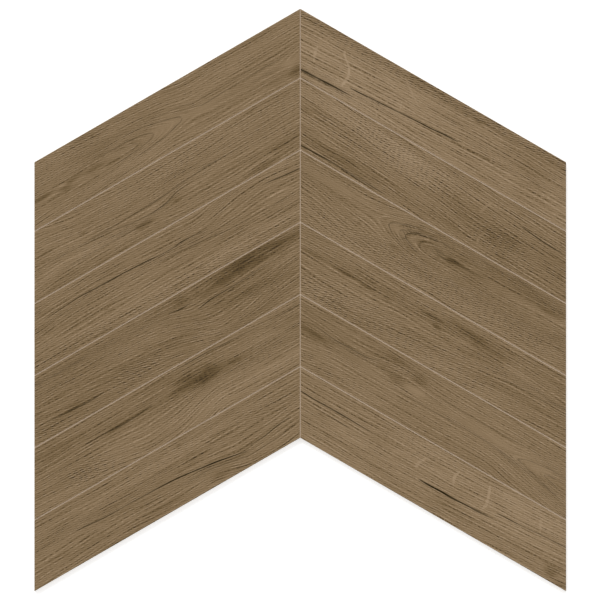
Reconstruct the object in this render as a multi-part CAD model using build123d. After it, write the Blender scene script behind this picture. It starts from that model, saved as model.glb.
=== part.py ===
"""Wood-look porcelain floor tile in the shape of a chevron, fired as one piece.

The face is scored into two wings of parallel strips that meet at a spine, so
that one tile lays like twelve boards. The back carries shallow square pockets
between ribs, which key the tile into its adhesive.

Frame: the tile lies on its back on z = 0, the face is up, the apex points
along +Y and the legs along -Y. The origin is the centre of the bounding box,
on the plane of the back. Lengths are millimetres, angles are degrees.
"""
from build123d import *
import math
import os

# Outline and body
tile_width = 600.0
thickness = 9.5
strip_angle = 30.0
edge_bevel = 0.6

# Strips, measured square to their own length
strips_per_wing = 6
head_strip_width = 66.8
strip_width = 69.0

# Scored joints between the strips, and the one along the spine
joint_width = 1.5
joint_floor_width = 0.9
joint_depth = 1.0
spine_joint_width = 1.3
spine_joint_floor_width = 0.8

# Keying on the back
pocket_pitch = 30.0
rib_width = 4.0
pocket_depth = 0.7
back_border = 8.0
smallest_pocket_share = 0.2

# How far a cutter runs past the body that it cuts
overrun = 2.0

# Worked out from the values above
cos_strip = math.cos(math.radians(strip_angle))
tan_strip = math.tan(math.radians(strip_angle))
half_width = tile_width / 2
strip_pitch = strip_width + joint_width
wing_depth = head_strip_width + (strips_per_wing - 1) * strip_pitch
side_length = wing_depth / cos_strip
point_rise = half_width * tan_strip
tile_length = side_length + point_rise
apex_y = tile_length / 2


def chevron_outline(inset=0.0):
    """The tile's outline in plan, with every edge moved inwards by inset."""
    reach = half_width - inset
    shift = inset / cos_strip
    head_y = apex_y - shift
    notch_y = apex_y - side_length + shift
    drop = reach * tan_strip
    return make_face(
        Polyline(
            (0, head_y),
            (reach, head_y - drop),
            (reach, notch_y - drop),
            (0, notch_y),
            (-reach, notch_y - drop),
            (-reach, head_y - drop),
            close=True,
        )
    )


def tile_blank():
    """The plain slab, with a small bevel round the whole edge of its face."""
    slab = extrude(chevron_outline(), amount=thickness)
    face_edges = slab.faces().sort_by(Axis.Z)[-1].edges()
    return chamfer(face_edges, length=edge_bevel)


def joint_section(plane, width, floor_width):
    """A joint's section on a plane whose x crosses the joint and whose y is up.

    The walls lean out from the floor and keep their slope above the face.
    """
    wall_lean = (width - floor_width) / 2 / joint_depth
    half_floor = floor_width / 2
    half_mouth = width / 2 + wall_lean * overrun
    floor_z = thickness - joint_depth
    mouth_z = thickness + overrun
    return plane * make_face(
        Polyline(
            (-half_floor, floor_z),
            (half_floor, floor_z),
            (half_mouth, mouth_z),
            (-half_mouth, mouth_z),
            close=True,
        )
    )


def strip_joints():
    """The joints between strips: one cutter in each wing, mitred at the spine.

    The section stands in the plane x = 0, where a joint measures its width
    divided by the cosine of the strip's angle, and runs out past the side.
    """
    spine_plane = Plane(origin=(0, 0, 0), x_dir=(0, 1, 0), z_dir=(1, 0, 0))
    run = (half_width + overrun) / cos_strip
    direction = (cos_strip, -tan_strip * cos_strip, 0)
    cutters = []
    for index in range(strips_per_wing - 1):
        offset = head_strip_width + joint_width / 2 + index * strip_pitch
        joint_y = apex_y - offset / cos_strip
        section = joint_section(
            spine_plane,
            joint_width / cos_strip,
            joint_floor_width / cos_strip,
        )
        right = extrude(Pos(0, joint_y, 0) * section, amount=run, dir=direction)
        cutters += [right, mirror(right, about=Plane.YZ)]
    return cutters


def spine_joint():
    """The joint along the spine, open at the apex and at the notch."""
    length = tile_length + 2 * overrun
    end_plane = Plane(origin=(0, length / 2, 0), x_dir=(-1, 0, 0), z_dir=(0, 1, 0))
    section = joint_section(end_plane, spine_joint_width, spine_joint_floor_width)
    return extrude(section, amount=-length)


def back_pockets():
    """Square pockets in rows, cut off by a plain border that follows the edge.

    A rib lies on the centre line. Scraps of pockets at the border are left
    solid, as a press tool has them.
    """
    side = pocket_pitch - rib_width
    columns = 2 * math.ceil(half_width / pocket_pitch)
    rows = 2 * math.ceil(tile_length / 2 / pocket_pitch)
    lattice = GridLocations(pocket_pitch, pocket_pitch, columns, rows)
    squares = Sketch() + [place * Rectangle(side, side) for place in lattice]
    clipped = squares & chevron_outline(back_border)
    smallest = smallest_pocket_share * side * side
    kept = [face for face in clipped.faces() if face.area >= smallest]
    return [extrude(face, amount=pocket_depth, dir=(0, 0, 1)) for face in kept]


def chevron_tile():
    """The finished tile: a blank, less its joints and the pockets in its back."""
    body = tile_blank() - strip_joints() - spine_joint()
    return body - back_pockets()


tile = chevron_tile()
os.makedirs("parts", exist_ok=True)
export_step(tile.solid(), "parts/chevron_tile.step")

print("outline", tile_width, "x", round(tile_length, 2), "x", thickness)
print("solids", len(tile.solids()), "volume cm3", round(tile.volume / 1000, 1))
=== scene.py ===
"""Wood-look porcelain floor tile in the shape of a chevron, dressed for the render.

The tile lies on its back and is seen from straight above. Its printed and
embossed face, its scored joints, its edge and its keyed back are one closed
mesh. Lengths are in millimetres until the mesh is made, which is in metres.
"""
import math

import bpy
import numpy as np
from mathutils.geometry import delaunay_2d_cdt
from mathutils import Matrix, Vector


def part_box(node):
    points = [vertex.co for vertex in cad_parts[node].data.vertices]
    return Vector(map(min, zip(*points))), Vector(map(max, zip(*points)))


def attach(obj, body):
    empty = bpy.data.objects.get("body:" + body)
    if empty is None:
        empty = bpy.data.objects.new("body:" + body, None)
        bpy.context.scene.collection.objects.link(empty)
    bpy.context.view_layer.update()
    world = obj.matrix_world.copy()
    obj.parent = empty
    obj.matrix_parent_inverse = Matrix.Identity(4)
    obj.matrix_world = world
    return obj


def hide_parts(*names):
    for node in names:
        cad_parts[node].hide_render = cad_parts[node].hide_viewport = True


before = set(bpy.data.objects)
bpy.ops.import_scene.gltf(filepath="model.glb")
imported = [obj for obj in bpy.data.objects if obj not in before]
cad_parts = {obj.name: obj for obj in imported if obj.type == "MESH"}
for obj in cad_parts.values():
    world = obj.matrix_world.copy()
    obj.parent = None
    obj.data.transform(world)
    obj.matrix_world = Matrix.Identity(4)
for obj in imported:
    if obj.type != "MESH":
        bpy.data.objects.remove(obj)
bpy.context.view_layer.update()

# The slab
# A pressed porcelain slab, 9.5 mm thick, cut to a chevron and fired. Its head and its
# notch slope down from the spine at 30 degrees, and a small bevel runs round its face.
slope = math.radians(30)
tan_slope = math.tan(slope)
cos_slope = math.cos(slope)
edge_bevel = 0.6

# The box is centred in plan and stands on the back, so its highest corner gives the sizes.
half_width, apex_y, thickness = 1000 * np.array(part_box("chevron_tile")[1])
side_length = 2 * apex_y - half_width * tan_slope

# The scored joints
# Grooves ground into the slab before glazing, five across each wing and one down
# the spine. Each has sloped walls and a flat floor, and parts the face into boards.
boards_per_wing = 6
head_board_width = 66.8
board_width = 69.0
joint_width = 1.5
joint_floor_width = 0.9
spine_joint_width = 1.3
spine_floor_width = 0.8
joint_depth = 1.0

# The face's grid is this fine, so that it carries the embossing.
rows_per_board = 84
columns_per_wing = 81
board_widths = np.array([head_board_width] + [board_width] * (boards_per_wing - 1))
board_tops = np.concatenate([[0.0], np.cumsum(board_widths + joint_width)[:-1]]) / cos_slope


def face_rows():
    """The face's grid lines across the wings: how far below the head edge, how deep, which board.

    Each board is cut into even rows. A joint adds the two lines of its floor, and
    the bevel adds the outermost line at the head and at the notch.
    """
    drop, depth, board = [0.0], [edge_bevel], [0]
    for number, (top, width) in enumerate(zip(board_tops, board_widths)):
        at_notch = number == boards_per_wing - 1
        bottom = top + width / cos_slope
        first = edge_bevel / cos_slope if number == 0 else top
        last = bottom - edge_bevel / cos_slope if at_notch else bottom
        drop += list(np.linspace(first, last, rows_per_board + 1))
        depth += [0.0] * (rows_per_board + 1)
        board += [number] * (rows_per_board + 1)
        if not at_notch:
            drop += [bottom + (joint_width + side * joint_floor_width) / 2 / cos_slope for side in (-1, 1)]
            depth += [joint_depth] * 2
            board += [number] * 2
    return np.array(drop + [side_length]), np.array(depth + [edge_bevel]), np.array(board + [board[-1]])


def face_columns():
    """The face's grid lines along the wings: x from one side to the other, and how deep."""
    reach = np.concatenate([
        [0.0, spine_floor_width / 2],
        np.linspace(spine_joint_width / 2, half_width - edge_bevel, columns_per_wing + 1),
        [half_width],
    ])
    depth = np.zeros_like(reach)
    depth[:2] = joint_depth
    depth[-1] = edge_bevel
    return np.concatenate([-reach[:0:-1], reach]), np.concatenate([depth[:0:-1], depth])


row_drop, row_depth, row_board = face_rows()
column_x, column_depth = face_columns()
face_x, face_drop = np.meshgrid(column_x, row_drop)
face_y = apex_y - np.abs(face_x) * tan_slope - face_drop
scored_depth = np.maximum(row_depth[:, None], column_depth[None, :])


# The oak on the face
# An ink-jet print of twelve oak boards under a matt glaze, over embossing that
# follows the same grain, as if each board were a plane cut through its own log.
late_wood_relief = 0.2
crack_relief = 0.4
deepest_relief = 0.45
relief_margin = 1.2
plain_stain_share = 0.78

# On a board u runs from the spine outwards and q from its upper edge down, in mm, and
# tones are steps of grey. The texture is how strong its late-wood lines, pores and ripple
# are. Flows are the grain lines that the others follow. The heart is the one where the
# rings turn into arches: its number, how blunt the turn is, and how far from it the rings
# run off. A run-off is where it starts, its length and its rise, and a knot is u, q, half
# length, half height. A patch is u, q, half length, half width, steps: dark and pale ones
# tint, rough ones add ripple, and calm ones, without steps, take texture away. A line is
# its width and points u, q, darkness. An arch is where its nose is, its length, and its
# darkness above and below the heart. A ray is its half width, its lightness and points q, u.
boards = {
    "left_1": dict(
        tone=1, texture=(18, 26, 18),
        flows=[[(0, 31), (125, 31), (160, 32), (178, 28), (225, 23), (290, 21), (390, 22)],
               [(0, 46), (52, 46), (178, 40), (390, 39)],
               [(0, 58), (90, 54), (150, 56), (200, 53), (250, 55), (310, 60), (390, 66)]],
        heart=(1, 4.5, 15), run_off=[(15, 40, -6), (158, 90, 20)],
        arches=[(178, 60, 0.45, 0.45), (214, 70, 0.4, 0.45), (236, 30, 0.22, 0.1), (62, 30, 0.15, 0.1)],
        dark=[(75, 4, 55, 4, 4), (284, 4, 16, 4, 8), (284, 25, 26, 8, 7), (268, 43, 10, 1.8, 18),
              (290, 40, 16, 3, 18), (318, 38, 12, 2.4, 22), (333, 42.5, 10, 2, 26), (361, 39.5, 14, 2.4, 30),
              (38, 59, 9, 4, 22)],
        pale=[(40, 47, 12, 5, 6), (332, 38.5, 4, 1.2, 16), (200, 41, 30, 8, 5), (150, 42, 22, 6, 5),
              (117, 58, 44, 8, 4), (235, 60, 34, 8, 6)],
        calm=[(196, 41, 28, 8), (40, 47, 12, 5), (148, 43, 18, 5)],
        rough=[(300, 8, 70, 8, 16)],
        lines=[(1.0, [(30, 37, 0.1), (60, 37.5, 0.35), (100, 37, 0.3), (150, 39, 0.4), (162, 35, 0.3),
                      (185, 32, 0.1)]),
               (1.0, [(30, 31, 0.1), (90, 31.5, 0.3), (150, 32, 0.2), (180, 27, 0.3), (225, 23, 0.2)])],
    ),
    "left_2": dict(
        tone=0, texture=(15, 29, 20),
        flows=[[(0, 9), (100, 10), (140, 14), (230, 18), (300, 15), (345, 7), (390, 4)],
               [(0, 34), (85, 33), (169, 35), (214, 38.5), (260, 39.3), (338, 35), (390, 34)],
               [(0, 40), (85, 38.6), (175, 40), (190, 42), (209, 47.3), (260, 47), (338, 39), (390, 41)],
               [(0, 52), (120, 57), (195, 56), (250, 53), (345, 54), (390, 58)]],
        knots=[(189, 50, 9, 4)],
        dark=[(190, 48, 14, 5, 9), (190, 50, 6, 2.4, 15), (234, 55, 10, 2.8, 24), (138, 49.5, 24, 4, 5),
              (52, 54.5, 24, 2.6, 17), (85, 65, 24, 3, 17), (298, 29, 3.5, 1.4, 28), (346, 27, 11, 2.4, 14),
              (285, 67, 26, 1.2, 12), (60, 57, 34, 8, 4), (338, 60, 30, 8, 5)],
        pale=[(217, 44, 18, 2.6, 6), (310, 47, 40, 4, 4), (110, 37, 50, 2, 4), (110, 12, 90, 11, 4)],
        rough=[(165, 10, 60, 11, 16), (30, 12, 30, 8, 10)],
        lines=[(1.2, [(85, 32.9, 0.2), (140, 32.5, 0.4), (169, 35.3, 0.35), (214, 38.5, 0.5),
                      (260, 39.3, 0.4), (300, 37.5, 0.1)]),
               (1.3, [(165, 39.8, 0.2), (185, 40.9, 0.5), (204, 46.9, 0.6), (222, 48.2, 0.4),
                      (250, 46, 0.4), (275, 40.5, 0.35), (320, 39, 0.1)]),
               (1.1, [(225, 56, 0.2), (245, 54, 0.4), (290, 53, 0.35), (345, 54, 0.2)]),
               (1.0, [(145, 56.5, 0.1), (157, 53.5, 0.5), (182, 53.5, 0.1)])],
    ),
    "left_3": dict(
        tone=0, texture=(26, 30, 18),
        flows=[[(0, 18.5), (56, 12.5), (95, 17.5), (139, 24.5), (175, 22.5), (282, 19), (348, 22),
                (390, 23)],
               [(0, 38), (62, 37.5), (112, 37.5), (137, 34), (175, 31), (200, 30), (300, 31), (390, 36)],
               [(0, 46), (100, 46), (150, 44), (200, 42.5), (300, 43), (390, 48)],
               [(0, 56), (100, 54), (200, 56), (390, 58)]],
        dark=[(70, 16, 22, 7, 4), (164, 58.5, 3, 1.4, 26), (278, 45.5, 3, 1.3, 22), (330, 62, 36, 5, 6),
              (352, 28, 14, 3, 5)],
        pale=[(120, 58, 110, 5, 6), (230, 8, 60, 6, 3), (48, 32, 20, 10, 3)],
        rough=[(200, 62, 190, 7, 20)],
        lines=[(1.2, [(-10, 19.5, 0.9), (10, 17, 0.9), (30, 14.9, 0.95), (46, 13, 0.8), (56, 12.1, 0.5)]),
               (1.2, [(136, 25, 0.35), (150, 22.8, 0.5), (169, 22.2, 0.8), (178, 23.3, 0.5), (192, 23, 0.4),
                      (210, 21.7, 0.85), (226, 20.7, 0.97), (255, 19.4, 0.95), (282, 18.6, 0.95),
                      (299, 18.2, 0.7), (325, 19.5, 0.6), (348, 21, 0.5)]),
               (1.0, [(25, 37.5, 0.4), (62, 38, 0.25), (112, 37, 0.2), (137, 33.8, 0.4), (175, 30.5, 0.4),
                      (200, 29.5, 0.2)])],
    ),
    "left_4": dict(
        tone=-6, texture=(20, 28, 22),
        flows=[[(0, 4), (60, 3), (120, 5), (165, 8), (225, 7), (390, 6)],
               [(0, 19), (42, 21), (82, 24), (140, 25), (152, 27), (167, 22), (185, 17), (225, 14),
                (345, 11), (390, 11)],
               [(0, 37), (45, 42), (80, 49), (120, 57), (140, 59), (157, 49), (180, 39), (225, 33),
                (300, 30), (390, 27)],
               [(0, 62), (60, 64), (120, 68), (150, 68), (200, 60), (287, 55), (357, 52), (390, 52)]],
        knots=[(110, 13, 20, 6)],
        dark=[(19, 9, 19, 4, 14), (66, 8, 36, 7, 22), (92, 8, 22, 5, 9), (108, 13, 14, 4, 16),
              (80, 10, 56, 10, 9), (132, 16, 12, 4.5, 12), (164, 7, 10, 5, 15), (164, 17, 4, 1.6, 18),
              (80, 39, 38, 5.5, 13), (90, 36, 9, 2, 12), (112, 32, 26, 6, 6), (316, 54, 30, 2, 18),
              (322, 51, 16, 3, 14), (345, 56, 30, 8, 6), (350, 28, 40, 10, 3), (290, 8, 40, 7, 3)],
        pale=[(98, 10, 4, 1.4, 14), (210, 30, 50, 10, 4), (70, 19, 26, 2.4, 7), (30, 28, 26, 5, 5),
              (35, 58, 30, 9, 8), (148, 56, 22, 12, 7), (235, 60, 50, 9, 4), (146, 12, 4, 3, 5)],
        rough=[(240, 53, 34, 10, 34), (80, 42, 34, 8, 14), (160, 45, 24, 14, 12), (362, 60, 20, 8, 18)],
        lines=[(0.9, [(42, 20.3, 0.35), (82, 23.2, 0.5), (114, 24, 0.8), (131, 24.1, 0.9), (152, 27, 0.75)]),
               (1.1, [(150, 16.6, 0.7), (166, 17.3, 0.8), (183, 13.6, 0.75)]),
               (1.5, [(287, 54.8, 0.6), (305, 55.6, 0.7), (330, 54.4, 0.7), (357, 51.9, 0.5)])],
    ),
    "left_5": dict(
        tone=-2, texture=(18, 29, 18),
        flows=[[(0, 9), (50, 9.5), (72, 6), (125, 4), (175, 3), (345, 4), (390, 4)],
               [(0, 25), (390, 25.5)],
               [(0, 40), (100, 40), (135, 38), (190, 52), (230, 56), (280, 48), (390, 44)]],
        knots=[(140, 25, 34, 7)],
        dark=[(136, 25, 18, 5.5, 26), (146, 23, 38, 9.5, 17), (160, 16.5, 22, 6, 9), (164, 23, 18, 4, 14),
              (184, 28, 24, 4, 7), (102, 27, 9, 2.2, 20), (96, 27, 24, 4.5, 7), (243, 25.4, 34, 2.2, 17),
              (238, 24, 50, 6, 8), (325, 15, 44, 9, 9), (356, 26, 10, 2.2, 15), (22, 28, 10, 3.4, 9),
              (140, 8, 70, 5, 5), (290, 34, 40, 3, 4)],
        pale=[(110, 56, 90, 13, 7), (240, 50, 60, 14, 4), (320, 58, 60, 9, 4), (134, 24.5, 3, 1.6, 10),
              (55, 20, 24, 4, 4)],
        rough=[(305, 54, 28, 12, 32), (185, 42, 30, 12, 14), (60, 38, 40, 6, 10)],
        lines=[(1.0, [(-12, 9.4, 0.8), (6, 8.6, 0.8), (30, 8.2, 0.5), (48, 8.9, 0.4)]),
               (1.0, [(60, 7, 0.3), (85, 5.4, 0.5), (125, 3.2, 0.75), (170, 2.8, 0.4)]),
               (1.4, [(206, 23.6, 0.5), (218, 24.8, 0.6), (235, 26.6, 0.5), (252, 26.6, 0.65),
                      (276, 24.3, 0.5)])],
    ),
    "left_6": dict(
        tone=-1, texture=(26, 28, 18),
        flows=[[(0, 20), (100, 22), (200, 24), (390, 22)],
               [(0, 40), (34, 41.4), (73, 46.5), (105, 50), (135, 45), (169, 40.5), (226, 37.4), (300, 35),
                (390, 37)],
               [(0, 56), (62, 61), (105, 61), (130, 54), (150, 51), (200, 52.5), (250, 51), (390, 57)]],
        dark=[(164, 8, 2.5, 2.4, 18), (187, 9, 7, 1.2, 12), (140, 59, 12, 4, 9), (34, 38, 2.5, 1.3, 18),
              (142, 28.5, 7, 1.1, 15), (290, 54, 34, 4, 6), (157, 28, 8, 8, 6), (225, 60, 30, 5, 6),
              (120, 40, 14, 6, 4)],
        pale=[(60, 56, 50, 4, 3), (200, 11, 160, 11, 5), (165, 60, 20, 3, 6)],
        rough=[(70, 22, 60, 16, 14), (180, 12, 40, 8, 10)],
        lines=[(1.2, [(96, 52.2, 0.5), (118, 48.5, 0.9), (135, 45.1, 0.95), (169, 40.9, 0.95),
                      (192, 38.6, 0.85), (226, 37.4, 0.55), (250, 37, 0.4), (276, 36.8, 0.6),
                      (299, 34.6, 0.8), (314, 34, 0.6)]),
               (1.0, [(34, 41.5, 0.4), (56, 44.2, 0.7), (73, 47.3, 0.75), (96, 47.9, 0.6)]),
               (1.0, [(38, 52.5, 0.3), (62, 56.5, 0.4), (100, 57.5, 0.35), (125, 52.5, 0.4),
                      (150, 48.5, 0.4), (200, 49.5, 0.1)])],
    ),
    "right_1": dict(
        tone=8, texture=(28, 34, 16),
        flows=[[(0, 20), (150, 17.5), (300, 16), (390, 17)],
               [(0, 52), (96, 49), (158, 45.6), (226, 41.6), (300, 39), (390, 40)],
               [(0, 60), (88, 57), (160, 57), (390, 60)]],
        dark=[(190, 5, 210, 6, 12), (238, 10, 5, 1.6, 16), (322, 30, 26, 22, 7), (324, 60.5, 14, 1.2, 14),
              (320, 14, 60, 12, 4), (30, 63, 26, 4, 4)],
        pale=[(105, 33, 120, 16, 9), (105, 56, 100, 11, 10), (180, 16, 90, 6, 6)],
        rough=[(190, 5, 300, 6, 34), (310, 45, 60, 16, 8)],
        lines=[(1.7, [(12, 59.4, 1.0), (45, 58.6, 1.0), (60, 58.2, 0.8), (75, 57.5, 0.75), (88, 56.9, 0.7),
                      (102, 56.2, 0.5)]),
               (1.25, [(92, 49.3, 1.0), (120, 47.7, 1.0), (140, 46.5, 0.8), (165, 45, 0.7),
                       (185, 43.8, 1.0), (200, 42.8, 1.0), (226, 41.2, 0.95), (233, 41, 0.7)]),
               (1.0, [(20, 60, 0.35), (60, 61, 0.3), (120, 60, 0.2)])],
        rays=[(1.6, 14, [(15, 67), (22, 70), (28, 80), (38, 85.5), (53, 84)]),
              (1.6, 12, [(26, 38), (36, 39.5), (46, 44)]), (1.1, 10, [(33, 151), (43, 155)]),
              (1.8, 6, [(10, 144), (22, 160), (29, 172)])],
    ),
    "right_2": dict(
        tone=-1, texture=(21, 37, 20),
        flows=[[(0, 2), (75, 8), (125, 13), (170, 16), (240, 20), (300, 24), (390, 27)],
               [(0, 37), (62, 40), (150, 44), (225, 51), (300, 55), (390, 58)]],
        dark=[(285, 45, 26, 10, 11), (84, 56, 42, 7, 10), (330, 38, 60, 16, 5), (244, 34, 34, 12, 4),
              (225, 58, 30, 7, 4), (25, 24, 24, 8, 4), (300, 60, 12, 4, 9)],
        pale=[(120, 12, 130, 11, 13), (150, 27, 44, 10, 9), (190, 30, 26, 8, 5), (60, 30, 40, 6, 4),
              (300, 16, 60, 10, 5)],
        rough=[(290, 46, 40, 16, 24), (150, 24, 70, 16, 22), (125, 9, 60, 8, 18)],
        lines=[(1.4, [(8, 66, 0.9), (30, 65.2, 1.0), (55, 64.5, 0.9), (79, 64, 0.5), (95, 64.1, 0.6),
                      (124, 64.8, 0.5), (150, 65.5, 0.5)]),
               (1.2, [(296, 20.2, 0.9), (310, 20.7, 0.9), (327, 22.3, 0.95), (361, 23.6, 0.85)]),
               (1.0, [(28, 23.4, 0.5), (50, 23.2, 0.5), (68, 23.3, 0.4)])],
        rays=[(1.6, 9, [(12, 258), (22, 253), (31, 251)]), (1.6, 10, [(44, 270), (52, 264), (63, 266)]),
              (1.4, 8, [(38, 292), (46, 284), (52, 283)])],
    ),
    "right_3": dict(
        tone=-1, texture=(20, 30, 24),
        flows=[[(0, 10), (85, 12), (130, 8), (170, 6), (390, 5)],
               [(0, 17), (100, 19), (150, 24), (214, 23), (390, 19)],
               [(0, 22), (38, 24), (75, 31), (125, 37), (175, 41), (250, 42), (390, 40)]],
        heart=(1, 7, 16), run_off=[(104, 90, 22)],
        arches=[(128, 40, 0.65, 0.3), (143, 40, 0.4, 0.1), (151, 90, 0.5, 0.15), (170, 40, 0.35, 0.1),
                (183, 30, 0.3, 0.1), (192, 60, 0.4, 0.15)],
        dark=[(213, 22.5, 9, 2.4, 30), (226, 21.5, 20, 1.8, 16), (196, 27, 14, 3, 6),
              (99, 37.5, 2.5, 1.2, 22), (148, 40.5, 10, 2.4, 15), (174, 23, 7, 4, 9), (180, 20, 24, 5, 6),
              (334, 17.5, 22, 2, 18), (325, 16, 34, 5, 8), (290, 9, 90, 9, 9), (245, 24, 40, 10, 5),
              (70, 4, 40, 4, 4)],
        pale=[(138, 22, 12, 6, 3), (60, 12, 60, 8, 4), (60, 56, 60, 12, 4), (140, 18, 30, 10, 3),
              (200, 62, 180, 7, 2)],
        calm=[(138, 22, 12, 6), (60, 14, 40, 4)],
        rough=[(200, 54, 200, 14, 18)],
    ),
    "right_4": dict(
        tone=-2, texture=(20, 30, 24),
        flows=[[(0, 9), (60, 6), (140, 8), (200, 6), (390, 6)],
               [(0, 22), (60, 25), (110, 25), (193, 24.6), (300, 27), (390, 30)],
               [(0, 46), (100, 50), (200, 45), (290, 36), (390, 34)]],
        knots=[(193, 24.6, 12, 5)],
        dark=[(28, 23.4, 16, 2.4, 12), (74, 23.6, 13, 2.2, 20), (103, 24.8, 9, 1.7, 22),
              (128, 24.8, 7, 1.7, 16), (182, 17.4, 20, 2.4, 12), (193, 24.4, 4, 2.6, 30),
              (232, 12, 22, 4.2, 19), (258, 17.5, 20, 3.4, 11), (206, 31.5, 9, 2.4, 10),
              (281, 8, 6, 2.2, 15), (335, 3, 22, 1.7, 14), (238, 12, 60, 10, 6), (110, 24, 110, 7, 3),
              (245, 28, 30, 4, 6), (360, 16, 30, 9, 3)],
        pale=[(84, 27.5, 9, 1.8, 9), (226, 24.5, 15, 2.4, 9), (296, 24, 18, 4, 6), (260, 60, 100, 9, 7),
              (200, 60, 40, 9, 5), (40, 60, 44, 9, 6)],
        rough=[(130, 52, 130, 15, 18), (60, 60, 34, 8, 20)],
        lines=[(1.0, [(165, 19, 0.5), (177, 17.2, 0.7), (198, 16.2, 0.55)]),
               (1.0, [(275, 38, 0.2), (320, 36.5, 0.45), (372, 38, 0.3)])],
    ),
    "right_5": dict(
        tone=0, texture=(18, 28, 18),
        flows=[[(0, 4), (100, 3), (180, 6), (345, 9), (390, 11)],
               [(0, 18), (25, 20.5), (75, 25), (102, 23.5), (118, 18), (150, 17), (190, 22), (300, 23),
                (390, 26)],
               [(0, 31), (50, 30), (150, 30), (230, 33), (304, 37), (390, 40)],
               [(0, 50), (30, 45), (75, 40), (150, 40), (275, 39), (312, 47), (390, 58)]],
        heart=(2, 2.5, 12), run_off=[(285, 80, 18)],
        arches=[(306, 60, 0.45, 0.5), (340, 44, 0.42, 0.42)],
        dark=[(133, 9, 13, 6, 13), (123, 24, 8, 6, 14), (141, 27, 13, 5, 16), (166, 15, 7, 7, 12),
              (38, 30, 18, 2, 20), (30, 30, 30, 9, 11), (75, 30, 30, 8, 5), (45, 14, 50, 12, 5),
              (150, 12, 44, 9, 6), (311, 17, 2, 5, 11), (200, 38.5, 70, 1.2, 5), (338, 44, 7, 2.4, 8),
              (20, 38, 14, 6, 5)],
        pale=[(139, 15, 9, 1.8, 13), (168, 29, 12, 4.6, 8), (300, 33, 60, 9, 8), (120, 60, 60, 7, 4)],
        calm=[(168, 29, 12, 5), (325, 35, 26, 6), (260, 31, 44, 5), (90, 32, 30, 3)],
        rough=[(60, 60, 60, 8, 12), (140, 20, 26, 14, 14)],
        lines=[(1.0, [(25, 20.8, 0.4), (60, 24.6, 0.5), (80, 24, 0.5), (102, 23.3, 0.6), (118, 18.1, 0.5)]),
               (1.0, [(140, 39.4, 0.1), (200, 38.6, 0.35), (271, 37.8, 0.4), (300, 41.5, 0.35),
                      (372, 54, 0.3)]),
               (0.9, [(190, 21.5, 0.3), (250, 22.5, 0.3), (340, 21, 0.1)])],
    ),
    "right_6": dict(
        tone=6, texture=(24, 33, 16),
        flows=[[(0, 23), (60, 23.3), (150, 23), (250, 21), (390, 14)],
               [(0, 44.5), (181, 43), (243, 41.4), (279, 39), (390, 31)],
               [(0, 60), (200, 60), (300, 57), (390, 50)]],
        dark=[(362, 58, 9, 6, 24), (378, 65, 8, 3, 18), (46, 34, 2.5, 1.3, 16), (50, 8, 60, 8, 5),
              (120, 26, 16, 12, 5), (85, 58, 60, 9, 4), (45, 32, 34, 8, 3), (230, 60, 50, 7, 4)],
        pale=[(240, 24, 130, 16, 4), (310, 12, 70, 11, 6), (290, 38, 80, 10, 5)],
        rough=[(150, 12, 60, 10, 8)],
        lines=[(1.3, [(-12, 22.4, 0.9), (12, 22.8, 0.9), (34, 23.7, 0.9), (62, 23.3, 0.7), (92, 23.4, 0.55),
                      (115, 23.6, 0.2)]),
               (2.0, [(178, 43, 0.8), (197, 42.3, 1.0), (222, 42.4, 1.0), (243, 41.3, 0.8), (260, 40.2, 0.7),
                      (279, 38.9, 0.35)]),
               (1.2, [(272, 31.8, 0.8), (300, 30.6, 0.7), (316, 29.4, 0.55), (345, 27.4, 0.6),
                      (361, 26.5, 0.8), (376, 26, 0.7)]),
               (1.0, [(50, 31.3, 0.5), (84, 31.7, 0.75)])],
        rays=[(1.8, 12, [(16, 176), (26, 169), (34, 170)]), (1.7, 12, [(11, 215), (20, 212), (29, 216)]),
              (1.7, 13, [(8, 252), (20, 257), (30, 260), (37, 257)]), (1.2, 8, [(44, 194), (53, 203)]),
              (1.4, 7, [(13, 321), (27, 328)])],
    ),
}


def smooth_step(t):
    """Rises from 0 to 1 as t does, level at both ends: 3 t squared less 2 t cubed."""
    t = np.clip(t, 0, 1)
    return t * t * (3 - 2 * t)


def soft_noise(a, b, seed):
    """Value noise from -1 to 1: random heights at whole a and b, joined by smooth steps."""
    cells = 256
    table = np.random.default_rng(seed).uniform(-1, 1, (cells, cells))
    i, j = np.floor(a).astype(int), np.floor(b).astype(int)
    s, t = smooth_step(a - i), smooth_step(b - j)
    i0, i1, j0, j1 = i % cells, (i + 1) % cells, j % cells, (j + 1) % cells
    near = table[i0, j0] * (1 - s) + table[i1, j0] * s
    far = table[i0, j1] * (1 - s) + table[i1, j1] * s
    return near * (1 - t) + far * t


def fibre_noise(along, row, seed):
    """Noise from -1 to 1 along each fibre row by itself, each with its own start."""
    rows, cells = 512, 128
    rng = np.random.default_rng(seed)
    table = rng.uniform(-1, 1, (rows, cells))
    start = rng.uniform(0, cells, rows)
    row = row.astype(int) % rows
    along = along + start[row]
    i = np.floor(along).astype(int)
    s = smooth_step(along - i)
    return table[row, i % cells] * (1 - s) + table[row, (i + 1) % cells] * s


def fibres(along, grain, pitch, width, length, cover, seed):
    """Thin lines along the grain, 0 to 1, one in each row of the pitch.

    Across the grain a line is a bell curve, whose place wanders within its row.
    Along the grain it fades in and out, and cover is the share that shows.
    """
    row = np.floor(grain / pitch)
    place = 0.5 + 0.22 * fibre_noise(along / (0.8 * length), row, seed + 1)
    strength = np.clip((fibre_noise(along / length, row, seed) + 2 * cover - 1) / (2 * cover), 0, 1)
    gap = (grain / pitch - row - place) * pitch / width
    return strength * np.exp(-gap * gap)


def patch(u, q, place):
    """An oval patch, 1 at its middle: it falls as a bell curve whose top is flattened."""
    u_middle, q_middle, half_length, half_width = place
    distance = np.hypot((u - u_middle) / half_length, (q - q_middle) / half_width)
    return np.exp(-distance ** 3)


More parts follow.
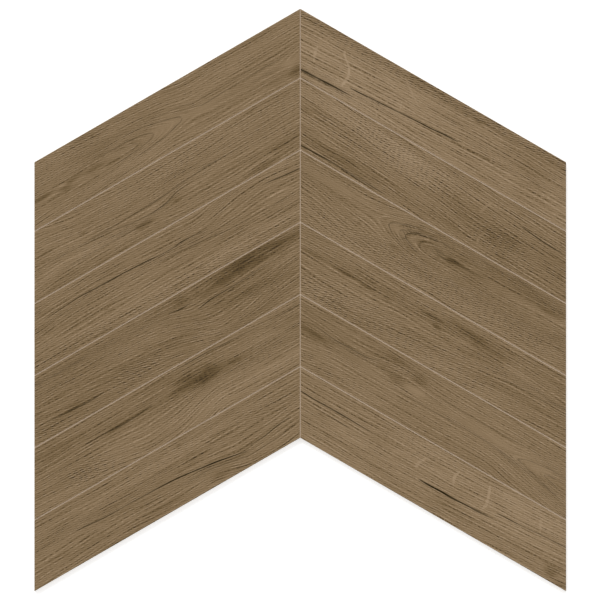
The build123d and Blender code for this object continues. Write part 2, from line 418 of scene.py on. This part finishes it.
def rounded_line(points, place, rounding):
    """The height of a drawn line at each place along it, its corners rounded by four shifted copies."""
    places, heights = np.array(points, float).T
    return sum(np.interp(place + shift * rounding, places, heights) for shift in (-1, -1 / 3, 1 / 3, 1)) / 4


def grain_field(board, number, u, q):
    """The grain coordinate in mm, whose contours are the grain lines.

    It runs evenly between the board's drawn grain lines, from the mean height of
    one to that of the next. Before that, knots push the lines apart. About the heart
    it is the distance from the heart's line, less how far the rings run off along it.
    It is counted from well above the board. The heart's side is -1 above its line, 1
    below it, and 0 on a board without one.
    """
    counted_from = -150
    slow_waver = soft_noise(u / 95, q / 30 + 40 * number, 11)
    quick_waver = soft_noise(u / 30, q / 9 + 40 * number, 12)
    q = q + slow_waver + 0.6 * quick_waver
    for u_knot, q_knot, half_length, half_height in board.get("knots", []):
        nearness = np.exp(-((u - u_knot) / half_length) ** 2 - ((q - q_knot) / half_height) ** 2)
        q = q - 0.75 * nearness * (q - q_knot)

    flows = [rounded_line(points, u, 9) for points in board["flows"]]
    levels = [np.mean([height for _, height in points]) for points in board["flows"]]
    grain = levels[0] + np.minimum(q - flows[0], 0) + np.maximum(q - flows[-1], 0)
    for n in range(len(flows) - 1):
        share = np.clip((q - flows[n]) / np.maximum(flows[n + 1] - flows[n], 1.0), 0, 1)
        grain = grain + (levels[n + 1] - levels[n]) * share
    side = 0 * grain
    if "heart" in board:
        line, depth, reach = board["heart"]
        away = grain - levels[line]
        run_off = sum(rise * smooth_step((u - start) / length) for start, length, rise in board["run_off"])
        grain = levels[line] + np.sqrt(away ** 2 + depth ** 2) - run_off * np.exp(-(away / reach) ** 2)
        side = np.tanh(away / 8)
    return grain - counted_from, side


def drawn_lines(board, number, u, q, grain, heart_side, steepness):
    """The nearest drawn line at each point: how far off its middle, its half width, its darkness.

    A crack or a dark vein is a line of points, which tapers to its ends and narrows
    where it pales. An arch is the contour of the grain that turns at its nose on the
    heart's line. Both waver, and where no line is near, the half width is negative.
    """
    far_off = 3.0
    offset, half, dark = np.full_like(u, far_off), np.full_like(u, -1.0), np.zeros_like(u)
    drawn = []
    for order, (width, points) in enumerate(board.get("lines", [])):
        middle = rounded_line([(at, height) for at, height, _ in points], u, 3)
        middle = middle + 0.25 * soft_noise(u / 15, 0 * u + order, 31)
        darkness = rounded_line([(at, share) for at, _, share in points], u, 3)
        taper = np.minimum(np.minimum(u - points[0][0], points[-1][0] - u) / 16, 1)
        drawn.append((q - middle, width * (0.7 + 0.4 * darkness), darkness, taper, order))
    for order, (nose, length, above, below) in enumerate(board.get("arches", [])):
        points = board["flows"][board["heart"][0]]
        nose_u = np.array([float(nose)])
        turn, _ = grain_field(board, number, nose_u, rounded_line(points, nose_u, 9))
        taper = np.minimum(1 - (u - nose) / length, (u - nose + 12) / 8)
        away = (grain - turn) / steepness + 0.8 * soft_noise(u / 7, q / 6 + 9 * order, 34)
        darkness = above + (below - above) * smooth_step(heart_side)
        darkness = darkness * (1 + 0.5 * soft_noise(u / 6, q / 5 + 9 * order, 35))
        drawn.append((away, 1.0, darkness, np.minimum(taper, 1), order + 20))
    for away, width, darkness, taper, order in drawn:
        waver = 1 + 0.3 * soft_noise(u / 11, 0 * u + order, 32)
        reach = np.where(taper > 0, width / 2 * np.sqrt(np.maximum(taper, 0)) * waver, -1.0)
        nearer = (reach > 0) & (np.abs(away) - reach < np.abs(offset) - half) & (np.abs(away) < far_off)
        offset = np.where(nearer, away, offset)
        half = np.where(nearer, reach, half)
        dark = np.where(nearer, darkness * (1 + 0.2 * soft_noise(u / 17, 0 * u + order, 33)), dark)
    return offset, half, np.clip(dark, 0, 1)


def drawn_rays(board, u, q):
    """The nearest pale ray at each point: how far off its middle, its half width, its lightness."""
    far_off = 9.0
    offset, half, light = np.full_like(u, far_off), np.full_like(u, -1.0), np.zeros_like(u)
    for half_ray, lightness, points in board.get("rays", []):
        away = u - rounded_line(points, q, 3)
        taper = np.minimum(q - points[0][0], points[-1][0] - q) / 5
        nearer = (taper > 0) & (np.abs(away) < np.minimum(np.abs(offset), far_off))
        offset = np.where(nearer, away, offset)
        half = np.where(nearer, half_ray * np.sqrt(np.clip(taper, 0, 1)), half)
        light = np.where(nearer, float(lightness), light)
    return offset, half, light


def printed_ground(board, number, u, q, along, grain, long_lines):
    """The print's tone without its fine texture, and the share of its stains left to that.

    The tone is the board's own, with clouds and bands along the grain, less its late-wood
    lines and dark patches, whose outlines waver, and with its pale patches.
    """
    tone = board["tone"] + 3.5 + 2.4 * soft_noise(u / 110, q / 18 + 50 * number, 21)
    bands = soft_noise(along / 260, grain / 6, 23)
    tone += 1.8 * soft_noise(u / 35, grain / 6 + 50 * number, 22) + 2.6 * bands
    tone += board["texture"][0] * (0.08 - 0.15 * long_lines)
    tone += 1.5 * soft_noise(along / 13, grain / 2.6, 24)
    darkened = 0 * u
    for *place, darkness in board["dark"]:
        warp_u = 0.3 * place[2] * soft_noise(u / 16, grain / 3, 81)
        warp_q = 0.35 * place[3] * soft_noise(u / 12, grain / 4, 82)
        darkened += darkness * patch(u + warp_u, q + warp_q, place)
    tone -= plain_stain_share * darkened
    for *place, lightness in board["pale"]:
        tone += lightness * patch(u, q, place)
    return tone, (1 - plain_stain_share) * darkened


face_grain, face_tone, face_smudge, face_relief = np.zeros((4,) + face_x.shape)
face_place, face_texture, face_line, face_ray = np.zeros((4,) + face_x.shape + (3,))

for side, wing in ((-1, "left"), (1, "right")):
    for index in range(boards_per_wing):
        board = boards[f"{wing}_{index + 1}"]
        number = index + (boards_per_wing if side > 0 else 0)
        mine = (row_board[:, None] == index) & (np.sign(face_x) == side)
        reach = np.abs(face_x[mine])
        below = face_drop[mine] - board_tops[index]
        u = reach / cos_slope + below / 2
        q = below * cos_slope
        grain, heart_side = grain_field(board, number, u, q)
        climb_u = grain_field(board, number, u + 0.5, q)[0] - grain
        climb_q = grain_field(board, number, u, q + 0.5)[0] - grain
        steepness = np.maximum(2 * np.hypot(climb_u, climb_q), 0.05)
        along = u + 500 * number

        # Where the grain lines spread far apart, their texture fades instead of smearing.
        in_step = smooth_step(steepness / 0.8)
        long_lines = fibres(along, grain, 4.4, 0.9, 60, 0.5, 41) * in_step
        face_tone[mine], face_smudge[mine] = printed_ground(board, number, u, q, along, grain, long_lines)
        late, pores, ripple = board["texture"]
        rough = sum(0 * u + strength * patch(u, q, place) for *place, strength in board.get("rough", []))
        calm = sum(0 * u + patch(u, q, place) for place in board.get("calm", []))
        offset, half, dark = drawn_lines(board, number, u, q, grain, heart_side, steepness)

        groove = smooth_step((half - np.abs(offset)) / 0.5 + 0.5) * dark
        to_edge = np.minimum(np.minimum(q, board_widths[index] - q), half_width - edge_bevel - reach)
        to_edge = np.minimum(to_edge, reach - spine_joint_width / 2)
        relief = np.minimum(late_wood_relief * long_lines + crack_relief * groove, deepest_relief)

        # The third number gives each board, and each side of a heart, texture of its own.
        face_place[mine] = np.stack([u, q, number + 0.3 * heart_side], axis=-1)
        face_grain[mine] = grain
        texture = [late * in_step, pores * in_step, ripple + rough]
        face_texture[mine] = np.stack(texture, axis=-1) * (1 - 0.75 * np.clip(calm, 0, 1))[..., None]
        face_line[mine] = np.stack([offset, half, dark], axis=-1)
        face_ray[mine] = np.stack(drawn_rays(board, u, q), axis=-1)
        face_relief[mine] = relief * smooth_step(to_edge / relief_margin)

face_z = thickness - np.maximum(scored_depth, face_relief)

# The edge and the keyed back
# The cut edge is bare fired porcelain, and so is the back, where the press tool
# leaves square pockets between ribs that the adhesive fills.
pocket_pitch = 30.0
rib_width = 4.0
pocket_depth = 0.7
back_border = 8.0
smallest_pocket_share = 0.2
merge_distance = 1e-4

row_count, column_count = face_x.shape
face_index = np.arange(row_count * column_count).reshape(row_count, column_count)
rim = np.concatenate([face_index[:-1, 0], face_index[-1, :-1], face_index[:0:-1, -1], face_index[0, :0:-1]])
face_points = np.stack([face_x, face_y, face_z], axis=-1).reshape(-1, 3)
foot_points = face_points[rim] * (1, 1, 0)


def pocket_corners(x, y):
    """A lattice square's corners, counter-clockwise, cut off where they pass the border.

    The square's wing ends at three straight limits, each a, b and c: a point is
    inside one where a x + b y is at most c.
    """
    half_side = (pocket_pitch - rib_width) / 2
    corners = [(x - half_side, y - half_side), (x + half_side, y - half_side),
               (x + half_side, y + half_side), (x - half_side, y + half_side)]
    wing = math.copysign(1, x)
    head = apex_y - back_border / cos_slope
    notch = apex_y - side_length + back_border / cos_slope
    limits = [
        (wing, 0, half_width - back_border), (wing * tan_slope, 1, head), (-wing * tan_slope, -1, -notch),
    ]
    for a, b, c in limits:
        kept = []
        for start, end in zip(corners[-1:] + corners[:-1], corners):
            before = a * start[0] + b * start[1] - c
            after = a * end[0] + b * end[1] - c
            if (before > 0) != (after > 0):
                share = before / (before - after)
                kept.append(tuple(s + share * (e - s) for s, e in zip(start, end)))
            if after <= 0:
                kept.append(end)
        corners = kept
    return corners


def keyed_back():
    """The back as triangles between the foot of the edge and the pockets.

    Pockets that the border leaves too small are left out. A triangle in a pocket
    lifts to its floor, and walls close the pocket along its own outline.
    """
    columns = math.ceil(half_width / pocket_pitch)
    rows = math.ceil(apex_y / pocket_pitch)
    shapes = [[tuple(point) for point in foot_points[:, :2]]]
    for column in range(-columns, columns):
        for row in range(-rows, rows):
            corners = pocket_corners((column + 0.5) * pocket_pitch, (row + 0.5) * pocket_pitch)
            if len(corners) > 2:
                x, y = np.array(corners).T
                area = 0.5 * np.sum(x * np.roll(y, -1) - y * np.roll(x, -1))
                if area >= smallest_pocket_share * (pocket_pitch - rib_width) ** 2:
                    shapes.append(corners)
    plan, loops = [], []
    for shape in shapes:
        loops.append(list(range(len(plan), len(plan) + len(shape))))
        plan += shape
    points, _, triangles, origins, _, owners = delaunay_2d_cdt(plan, [], loops, 0, merge_distance, True)
    points = np.array([tuple(point) for point in points])
    kept = [n for n, owner in enumerate(owners) if 0 in owner]
    triangles = np.array(triangles)[kept]
    in_pocket = np.array([max(owners[n]) > 0 for n in kept])
    foot = np.array([min(origin) if origin and min(origin) < len(rim) else -1 for origin in origins])
    return points, triangles, in_pocket, foot


back_plan, back_triangles, in_pocket, back_foot = keyed_back()
first_foot = len(face_points)
first_rib = first_foot + len(foot_points)
first_floor = first_rib + len(back_plan)
rib_points = np.column_stack([back_plan, np.zeros(len(back_plan))])
floor_points = np.column_stack([back_plan, np.full(len(back_plan), pocket_depth)])
rib_index = np.where(back_foot >= 0, first_foot + back_foot, first_rib + np.arange(len(back_plan)))
floor_index = first_floor + np.arange(len(back_plan))

face_quads = np.stack(
    [face_index[:-1, :-1], face_index[1:, :-1], face_index[1:, 1:], face_index[:-1, 1:]], axis=-1
).reshape(-1, 4)
foot_index = first_foot + np.arange(len(rim))
edge_quads = np.stack([foot_index, np.roll(foot_index, -1), np.roll(rim, -1), rim], axis=-1)
rib_triangles = rib_index[back_triangles[~in_pocket]][:, ::-1]
floor_triangles = floor_index[back_triangles[in_pocket]][:, ::-1]
sides = np.concatenate([back_triangles[in_pocket][:, [n, (n + 1) % 3]] for n in range(3)])
side_keys = sides[:, 0] * len(back_plan) + sides[:, 1]
lone = ~np.isin(sides[:, 1] * len(back_plan) + sides[:, 0], side_keys)
start, end = sides[lone].T
pocket_quads = np.stack([rib_index[end], rib_index[start], floor_index[start], floor_index[end]], axis=-1)

# The tile's mesh
# Face, edge and back joined into one closed skin, as the fired piece is one body.
# It is glazed on the face and in the joints, and bare on the edge and the back.
oak_finish, joint_finish, bare_finish = 0, 1, 2
sharp_angle = math.radians(35)
all_points = np.concatenate([face_points, foot_points, rib_points, floor_points])
quads = np.concatenate([face_quads, edge_quads, pocket_quads])
triangles = np.concatenate([rib_triangles, floor_triangles])
used, compact = np.unique(np.concatenate([quads.ravel(), triangles.ravel()]), return_inverse=True)
corner_total = np.concatenate([np.full(len(quads), 4), np.full(len(triangles), 3)])
corner_start = np.concatenate([[0], np.cumsum(corner_total)[:-1]])

joint_row = (row_depth[:-1] == joint_depth) | (row_depth[1:] == joint_depth)
joint_column = (column_depth[:-1] == joint_depth) | (column_depth[1:] == joint_depth)
in_joint = (joint_row[:, None] | joint_column[None, :]).ravel()
finish = np.full(len(corner_total), bare_finish)
finish[:len(face_quads)] = np.where(in_joint, joint_finish, oak_finish)

mesh = bpy.data.meshes.new("porcelain_tile")
mesh.vertices.add(len(used))
mesh.vertices.foreach_set("co", (all_points[used] / 1000).astype(np.float32).ravel())
mesh.loops.add(len(compact))
mesh.loops.foreach_set("vertex_index", compact.astype(np.int32))
mesh.polygons.add(len(corner_total))
mesh.polygons.foreach_set("loop_start", corner_start.astype(np.int32))
mesh.polygons.foreach_set("material_index", finish.astype(np.int32))
mesh.update(calc_edges=True)
mesh.validate()
mesh.shade_smooth()
mesh.set_sharp_from_angle(angle=sharp_angle)


def keep_on_points(name, values):
    """Keeps values of the face's grid on the mesh's points, with zeros on the edge and the back."""
    values = values.reshape(len(face_points), -1)
    padded = np.zeros((len(used), values.shape[1]), np.float32)
    on_face = used < len(face_points)
    padded[on_face] = values[used[on_face]]
    kind, field = ("FLOAT_VECTOR", "vector") if values.shape[1] == 3 else ("FLOAT", "value")
    mesh.attributes.new(name, kind, "POINT").data.foreach_set(field, padded.ravel())


keep_on_points("board_place", face_place)
keep_on_points("grain", face_grain)
keep_on_points("tone", face_tone)
keep_on_points("smudge", face_smudge)
keep_on_points("texture", face_texture)
keep_on_points("drawn_line", face_line)
keep_on_points("ray", face_ray)

tile = bpy.data.objects.new("porcelain_tile", mesh)
bpy.context.scene.collection.objects.link(tile)
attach(tile, "root")
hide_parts("chevron_tile")


def linear(colour):
    """An sRGB colour written as six hex digits, as linear red, green, blue and alpha."""
    parts = [int(colour[n:n + 2], 16) / 255 for n in (0, 2, 4)]
    return [part / 12.92 if part <= 0.04045 else ((part + 0.055) / 1.055) ** 2.4 for part in parts] + [1.0]


def add(tree, kind, inputs=None, **settings):
    """Adds a node: its settings, and each input's value or the socket that feeds it."""
    node = tree.nodes.new("ShaderNode" + kind)
    for name, value in settings.items():
        setattr(node, name, value)
    for socket, value in (inputs or {}).items():
        if isinstance(value, bpy.types.NodeSocket):
            tree.links.new(value, node.inputs[socket])
        else:
            node.inputs[socket].default_value = value
    return node


def new_material(name):
    """A material whose node tree is empty, and that tree."""
    material = bpy.data.materials.new(name)
    material.use_nodes = True
    material.node_tree.nodes.clear()
    return material, material.node_tree


def wavy_rows(tree, vector, length, pitch, depth, show):
    """Wavy rows across the vector's second axis, a pitch apart in mm, and the patches that show them.

    Rows and patches change over the length, and with the third axis times the depth. At
    a scale of 0.314 one row of the wave is one unit wide.
    """
    scaled = add(tree, "Mapping", {"Vector": vector, "Scale": (1 / length, 1 / pitch, depth)}).outputs[0]
    rows = add(tree, "TexWave", {
        "Vector": scaled, "Scale": 0.314, "Distortion": 4.5, "Detail": 1.0, "Detail Scale": 0.7,
    }, bands_direction="Y").outputs["Fac"]
    patches = add(tree, "TexNoise", {"Vector": scaled, "Scale": 0.65, "Detail": 1.0}).outputs[0]
    patches = add(tree, "MapRange", {"Value": patches, "From Min": show[0], "From Max": show[1]}).outputs[0]
    return rows, patches


def printed_oak_glaze():
    """Matt porcelain glaze over an ink-jet print of oak: warm brown, with olive in its darks."""
    material, tree = new_material("printed_oak_glaze")
    place = add(tree, "Attribute", attribute_name="board_place").outputs["Vector"]
    grain = add(tree, "Attribute", attribute_name="grain").outputs["Fac"]
    tone = add(tree, "Attribute", attribute_name="tone").outputs["Fac"]
    smudge = add(tree, "Attribute", attribute_name="smudge").outputs["Fac"]
    texture = add(tree, "Attribute", attribute_name="texture").outputs["Vector"]
    parts = add(tree, "SeparateXYZ", {0: place})
    along_grain = add(tree, "CombineXYZ", {0: parts.outputs[0], 1: grain, 2: parts.outputs[2]}).outputs[0]

    # Late-wood lines 5.2 mm apart, as plain-sawn oak shows, pores in rows, and the aslant
    # ripple of the brushed face. Real pores are 0.3 mm wide, and are drawn coarse to show.
    aslant = add(tree, "Mapping", {"Vector": place, "Rotation": (0, 0, math.radians(18))}).outputs[0]
    late_wave, late_show = wavy_rows(
        tree, along_grain, length=44, pitch=5.2, depth=7.7, show=(0.45, 0.62))
    late_wave = add(tree, "Math", {0: late_wave, 1: 6.0}, operation="POWER").outputs[0]
    late = add(tree, "Math", {0: late_wave, 1: late_show}, operation="MULTIPLY").outputs[0]
    wide_rows, wide_show = wavy_rows(
        tree, along_grain, length=20, pitch=3.6, depth=9.1, show=(0.35, 0.65))
    fine_rows, fine_show = wavy_rows(
        tree, along_grain, length=11, pitch=2.3, depth=13.3, show=(0.3, 0.65))
    ripple, ripple_show = wavy_rows(tree, aslant, length=3.0, pitch=2.3, depth=11.3, show=(0.1, 0.5))
    rows = add(tree, "CombineXYZ", {0: wide_rows, 1: fine_rows, 2: ripple}).outputs[0]
    rows = add(tree, "VectorMath", {0: rows, 1: (0.5, 0.5, 0.5)}, operation="SUBTRACT").outputs[0]
    shows = add(tree, "CombineXYZ", {0: wide_show, 1: fine_show, 2: ripple_show}).outputs[0]
    rows = add(tree, "VectorMath", {0: rows, 1: shows}, operation="MULTIPLY").outputs[0]
    rows = add(tree, "SeparateXYZ", {0: rows}).outputs
    pores = add(tree, "Math", {0: rows[0], 1: rows[1]}, operation="ADD").outputs[0]
    marks = add(tree, "CombineXYZ", {0: late, 1: pores, 2: rows[2]}).outputs[0]
    print_dark = add(tree, "VectorMath", {0: marks, 1: texture}, operation="DOT_PRODUCT").outputs["Value"]

    # Rays are pale and smooth, so they lift the tone and hide the pores.
    ray = add(tree, "Attribute", attribute_name="ray").outputs["Vector"]
    ray = add(tree, "SeparateXYZ", {0: ray})
    ray_gap = add(tree, "Math", {0: ray.outputs[0]}, operation="ABSOLUTE").outputs[0]
    ray_gap = add(tree, "Math", {0: ray.outputs[1], 1: ray_gap}, operation="SUBTRACT").outputs[0]
    in_ray = add(tree, "MapRange", {
        "Value": ray_gap, "From Min": -0.6, "From Max": 0.6,
    }, interpolation_type="SMOOTHSTEP").outputs[0]
    darken = add(tree, "MapRange", {"Value": in_ray, "To Min": -1.0, "To Max": -0.3}).outputs[0]

    # All that is darker than the ground, stains too, is broken up along the grain.
    broken = add(tree, "Mapping", {"Vector": along_grain, "Scale": (1 / 2.4, 1 / 1.9, 17.1)}).outputs[0]
    broken = add(tree, "TexNoise", {
        "Vector": broken, "Scale": 1.0, "Detail": 3.0, "Roughness": 0.6,
    }).outputs[0]
    broken = add(tree, "MapRange", {
        "Value": broken, "From Min": 0.33, "From Max": 0.67, "To Min": -0.1, "To Max": 2.1,
    }).outputs[0]
    darken = add(tree, "Math", {0: darken, 1: broken}, operation="MULTIPLY").outputs[0]
    dark = add(tree, "Math", {0: print_dark, 1: smudge}, operation="ADD").outputs[0]

    level = add(tree, "Math", {0: dark, 1: darken, 2: tone}, operation="MULTIPLY_ADD").outputs[0]
    level = add(tree, "Math", {0: in_ray, 1: ray.outputs[2], 2: level}, operation="MULTIPLY_ADD").outputs[0]

    # The ramp takes steps of grey, from 71 below the mean to 49 above it, to the ink's colours.
    share = add(tree, "MapRange", {"Value": level, "From Min": -71.0, "From Max": 49.0}).outputs[0]
    ramp = add(tree, "ValToRGB", {0: share})
    stops = [
        (0.10, "322308"), (0.37, "5e4a2b"), (0.50, "705b3d"),
        (0.63, "816b4e"), (0.77, "927b5e"), (0.90, "a38c70"),
    ]
    while len(ramp.color_ramp.elements) < len(stops):
        ramp.color_ramp.elements.new(0.5)
    for element, (position, colour) in zip(ramp.color_ramp.elements, stops):
        element.position = position
        element.color = linear(colour)

    # Cracks and veins go over the rest of the print, and lie too deep to shine.
    line = add(tree, "Attribute", attribute_name="drawn_line").outputs["Vector"]
    line = add(tree, "SeparateXYZ", {0: line})
    line_gap = add(tree, "Math", {0: line.outputs[0]}, operation="ABSOLUTE").outputs[0]
    line_gap = add(tree, "Math", {0: line.outputs[1], 1: line_gap}, operation="SUBTRACT").outputs[0]
    in_line = add(tree, "MapRange", {
        "Value": line_gap, "From Min": -0.3, "From Max": 0.3,
    }, interpolation_type="SMOOTHSTEP").outputs[0]
    line_share = add(tree, "Math", {0: in_line, 1: line.outputs[2]}, operation="MULTIPLY").outputs[0]
    gloss = add(tree, "MapRange", {"Value": line_share, "To Min": 0.2, "To Max": 0.0}).outputs[0]
    colour = add(tree, "Mix", {
        0: line_share, 6: ramp.outputs[0], 7: linear("2a220f"),
    }, data_type="RGBA").outputs[2]

    # Each step of darkness lies a hundredth of a millimetre deeper.
    bump = add(tree, "Bump", {"Height": print_dark, "Distance": 0.00001}, invert=True).outputs[0]
    shader = add(tree, "BsdfPrincipled", {
        "Base Color": colour, "Roughness": 0.68, "IOR": 1.5, "Specular IOR Level": gloss, "Normal": bump,
    })
    add(tree, "OutputMaterial", {"Surface": shader.outputs[0]})
    return material


def speckle(tree, per_metre, detail, roughness, stops):
    """Speckles, so many to a metre: their height, and their colour from a dark to a pale stop."""
    place = add(tree, "TexCoord").outputs["Object"]
    height = add(tree, "TexNoise", {
        "Vector": place, "Scale": per_metre, "Detail": detail, "Roughness": roughness,
    }).outputs[0]
    ramp = add(tree, "ValToRGB", {0: height})
    for element, (position, colour) in zip(ramp.color_ramp.elements, stops):
        element.position = position
        element.color = linear(colour)
    return height, ramp.outputs[0]


def joint_glaze():
    """The plain pale glaze in the scored joints, greyer than the oak. Its speckles are 1.1 mm across."""
    material, tree = new_material("joint_glaze")
    _, colour = speckle(tree, 900.0, 2.0, 0.5, [(0.3, "b7a590"), (0.7, "bfad98")])
    shader = add(tree, "BsdfPrincipled", {
        "Base Color": colour, "Roughness": 0.6, "IOR": 1.5, "Specular IOR Level": 0.2,
    })
    add(tree, "OutputMaterial", {"Surface": shader.outputs[0]})
    return material


def fired_body():
    """Bare vitrified porcelain: beige, dry to the eye, with dark speckles 0.7 mm across."""
    material, tree = new_material("fired_body")
    height, colour = speckle(tree, 1400.0, 3.0, 0.7, [(0.3, "8f8069"), (0.62, "b5a68f")])
    bump = add(tree, "Bump", {"Height": height, "Strength": 0.6, "Distance": 0.00008}).outputs[0]
    shader = add(tree, "BsdfPrincipled", {
        "Base Color": colour, "Roughness": 0.8, "IOR": 1.5, "Specular IOR Level": 0.3, "Normal": bump,
    })
    add(tree, "OutputMaterial", {"Surface": shader.outputs[0]})
    return material


for material in (printed_oak_glaze(), joint_glaze(), fired_body()):
    mesh.materials.append(material)

# The floor
# A plain white studio floor, which isn't part of the tile. It shows white to the
# camera and still keeps a soft shadow round the tile.
floor_reach = 8.0
floor_z = -0.0002
floor_glow = 0.45
floor_mesh = bpy.data.meshes.new("studio_floor")
floor_sides = [(-1, -1), (1, -1), (1, 1), (-1, 1)]
floor_corners = [(x * floor_reach, y * floor_reach, floor_z) for x, y in floor_sides]
floor_mesh.from_pydata(floor_corners, [], [(0, 1, 2, 3)])
floor = bpy.data.objects.new("studio_floor", floor_mesh)
bpy.context.scene.collection.objects.link(floor)


def seen_directly(tree):
    """1 for the rays that show the background: the camera's, and those through gloss and glass."""
    rays = add(tree, "LightPath").outputs
    seen = rays["Is Camera Ray"]
    for kind in ("Is Glossy Ray", "Is Transmission Ray"):
        seen = add(tree, "Math", {0: seen, 1: rays[kind]}, operation="ADD").outputs[0]
    return seen


floor_paint, tree = new_material("white_floor_paint")
lift = add(tree, "Math", {0: seen_directly(tree), 1: floor_glow}, operation="MULTIPLY").outputs[0]
glow = add(tree, "Emission", {"Color": (1, 1, 1, 1), "Strength": lift}).outputs[0]
paint = add(tree, "BsdfDiffuse", {"Color": (0.8, 0.8, 0.8, 1)}).outputs[0]
add(tree, "OutputMaterial", {"Surface": add(tree, "AddShader", {0: glow, 1: paint}).outputs[0]})
floor_mesh.materials.append(floor_paint)

# Light and camera
# Even light from all round, as in a scan of the tile, and one soft lamp from the
# upper left that brings out the embossing.
light_from_round = 0.72
world = bpy.data.worlds.new("studio")
bpy.context.scene.world = world
world.use_nodes = True
tree = world.node_tree
tree.nodes.clear()
strength = add(tree, "MapRange", {
    "Value": seen_directly(tree), "To Min": light_from_round, "To Max": 1.0,
}).outputs[0]
sky = add(tree, "Background", {"Color": (1, 1, 1, 1), "Strength": strength}).outputs[0]
add(tree, "OutputWorld", {"Surface": sky})

lamp_data = bpy.data.lights.new("soft_lamp", "SUN")
lamp_data.energy = 1.1
lamp_data.angle = math.radians(25)
lamp = bpy.data.objects.new("soft_lamp", lamp_data)
lamp.rotation_euler = (0, math.radians(-38), math.radians(-70))
bpy.context.scene.collection.objects.link(lamp)

view_width = 0.67703
view_centre_x = -0.0003
camera_height = 8.0
camera_data = bpy.data.cameras.new("camera")
camera_data.sensor_width = 36.0
camera_data.lens = camera_data.sensor_width * camera_height / view_width
camera_data.clip_end = 50.0
camera = bpy.data.objects.new("camera", camera_data)
camera.location = (view_centre_x, 0.0, camera_height + thickness / 1000)
bpy.context.scene.collection.objects.link(camera)
bpy.context.scene.camera = camera
bpy.context.scene.view_settings.view_transform = "Standard"
